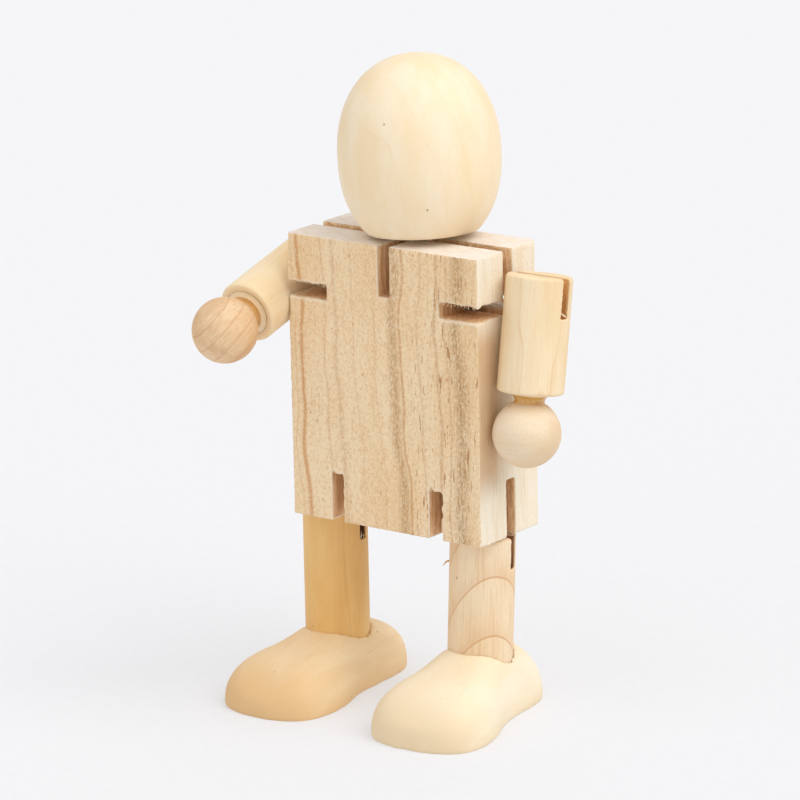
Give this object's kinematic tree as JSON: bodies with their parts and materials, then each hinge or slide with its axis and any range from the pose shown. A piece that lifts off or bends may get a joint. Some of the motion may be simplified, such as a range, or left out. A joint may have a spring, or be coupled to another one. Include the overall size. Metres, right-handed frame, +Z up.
{
  "type": "wooden mannequin figure",
  "caption": "Unfinished wooden block figure strung on elastic: egg head, sawn kerfed torso, dowel arms with ball hands, dowel legs on shoe-shaped feet.",
  "frame": {"origin": "middle of the bottom of the whole figure's box, on the surface it stands on", "axes": "+Z up, the figure faces -Y, +X to the figure's own left side"},
  "size_m": [0.1106, 0.0714, 0.2002],
  "materials": {
    "sawn_pine": "rough-sawn pine, unfinished",
    "turned_head": "turned and sanded, unfinished",
    "dowel": "sanded dowel, unfinished",
    "dark_dowel": "sanded dowel, unfinished",
    "ball_wood": "turned ball, unfinished",
    "peg_wood": "turned peg with dried glue, glossy",
    "foot_wood": "carved and sanded, unfinished",
    "elastic": "braided round elastic",
    "steel_pin": "bright wire nail"
  },
  "bodies": {
    "torso": {"torso_block": "sawn_pine", "shoulder_elastic": "elastic", "hip_elastic": "elastic", "neck_elastic": "elastic"},
    "neck_lean": {"neck_elastic_lower": "elastic"},
    "neck_nod": {"neck_elastic_upper": "elastic"},
    "head": {"head": "turned_head", "head_pin": "steel_pin", "head_elastic": "elastic"},
    "left_arm_cord": {"left_arm_elastic": "elastic"},
    "left_arm_bend": {"left_arm_elastic_bend": "elastic"},
    "left_arm": {"left_arm": "dowel", "left_arm_pin": "steel_pin", "left_arm_elastic_eye": "elastic", "left_hand_peg": "peg_wood", "left_hand_ball": "ball_wood"},
    "left_leg_cord": {"left_leg_elastic": "elastic"},
    "left_leg_bend": {"left_leg_elastic_bend": "elastic"},
    "left_leg": {"left_leg": "dowel", "left_leg_pin": "steel_pin", "left_leg_elastic_eye": "elastic", "left_foot": "foot_wood"},
    "right_arm_cord": {"right_arm_elastic": "elastic"},
    "right_arm_bend": {"right_arm_elastic_bend": "elastic"},
    "right_arm": {"right_arm": "dowel", "right_arm_pin": "steel_pin", "right_arm_elastic_eye": "elastic", "right_hand_peg": "peg_wood", "right_hand_ball": "ball_wood"},
    "right_leg_cord": {"right_leg_elastic": "elastic"},
    "right_leg_bend": {"right_leg_elastic_bend": "elastic"},
    "right_leg": {"right_leg": "dark_dowel", "right_leg_pin": "steel_pin", "right_leg_elastic_eye": "elastic", "right_foot": "foot_wood"}
  },
  "joints": [
    {"name": "neck_lean", "type": "hinge", "parent": "torso", "child": "neck_lean", "pos_m": [-0.0139, 0.01048, 0.14572], "axis": [0, -1, 0], "range_deg": [0, 20]},
    {"name": "neck_nod", "type": "hinge", "parent": "neck_lean", "child": "neck_nod", "pos_m": [-0.0002, -0.00722, 0.1456], "axis": [1, 0, 0], "range_deg": [0, 40]},
    {"name": "neck_turn", "type": "hinge", "parent": "neck_nod", "child": "head", "pos_m": [0.0028, 0.01048, 0.14668], "axis": [-0.0575, 0.0297, 0.9979], "range_deg": [-180, 180]},
    {"name": "left_shoulder_swing", "type": "hinge", "parent": "torso", "child": "left_arm_cord", "pos_m": [0.0351, 0.00848, 0.1281], "axis": [1, 0, 0], "continuous": true},
    {"name": "left_shoulder_bend", "type": "hinge", "parent": "left_arm_cord", "child": "left_arm_bend", "pos_m": [0.0351, 0.00848, 0.1281], "axis": [0, -0.9863, 0.165], "range_deg": [-90, 0]},
    {"name": "left_shoulder_lift", "type": "hinge", "parent": "left_arm_bend", "child": "left_arm", "pos_m": [0.0401, 0.00936, 0.13333], "axis": [0, -0.9863, 0.165], "range_deg": [0, 180]},
    {"name": "left_hip_turn", "type": "hinge", "parent": "torso", "child": "left_leg_cord", "pos_m": [0.0243, 0.00848, 0.05655], "axis": [0.0454, 0, 0.999], "range_deg": [-17, 75]},
    {"name": "left_hip_bend", "type": "hinge", "parent": "left_leg_cord", "child": "left_leg_bend", "pos_m": [0.0243, 0.00848, 0.05655], "axis": [0.2586, -0.9659, -0.0117], "range_deg": [-90, 0]},
    {"name": "left_hip_lift", "type": "hinge", "parent": "left_leg_bend", "child": "left_leg", "pos_m": [0.02893, 0.00978, 0.05203], "axis": [0.2586, -0.9659, -0.0117], "range_deg": [0, 180]},
    {"name": "right_shoulder_swing", "type": "hinge", "parent": "torso", "child": "right_arm_cord", "pos_m": [-0.0355, 0.00848, 0.1273], "axis": [1, 0, 0], "continuous": true},
    {"name": "right_shoulder_bend", "type": "hinge", "parent": "right_arm_cord", "child": "right_arm_bend", "pos_m": [-0.0355, 0.00848, 0.1273], "axis": [0, 0.2756, -0.9613], "range_deg": [-90, 0]},
    {"name": "right_shoulder_lift", "type": "hinge", "parent": "right_arm_bend", "child": "right_arm", "pos_m": [-0.0404, 0.01358, 0.12876], "axis": [0, 0.2756, -0.9613], "range_deg": [0, 180]},
    {"name": "right_hip_turn", "type": "hinge", "parent": "torso", "child": "right_leg_cord", "pos_m": [-0.0315, 0.00848, 0.0569], "axis": [0, 0, -1], "range_deg": [-17, 75]},
    {"name": "right_hip_bend", "type": "hinge", "parent": "right_leg_cord", "child": "right_leg_bend", "pos_m": [-0.0315, 0.00848, 0.0569], "axis": [-0.1219, 0.9925, 0], "range_deg": [-90, 0]},
    {"name": "right_hip_lift", "type": "hinge", "parent": "right_leg_bend", "child": "right_leg", "pos_m": [-0.03646, 0.00787, 0.0526], "axis": [-0.1219, 0.9925, 0], "range_deg": [0, 180]}
  ],
  "couplings": [
    {"joint": "left_shoulder_bend", "follows": "left_shoulder_lift", "ratio": -0.5},
    {"joint": "left_hip_bend", "follows": "left_hip_lift", "ratio": -0.5},
    {"joint": "right_shoulder_bend", "follows": "right_shoulder_lift", "ratio": -0.5},
    {"joint": "right_hip_bend", "follows": "right_hip_lift", "ratio": -0.5}
  ]
}
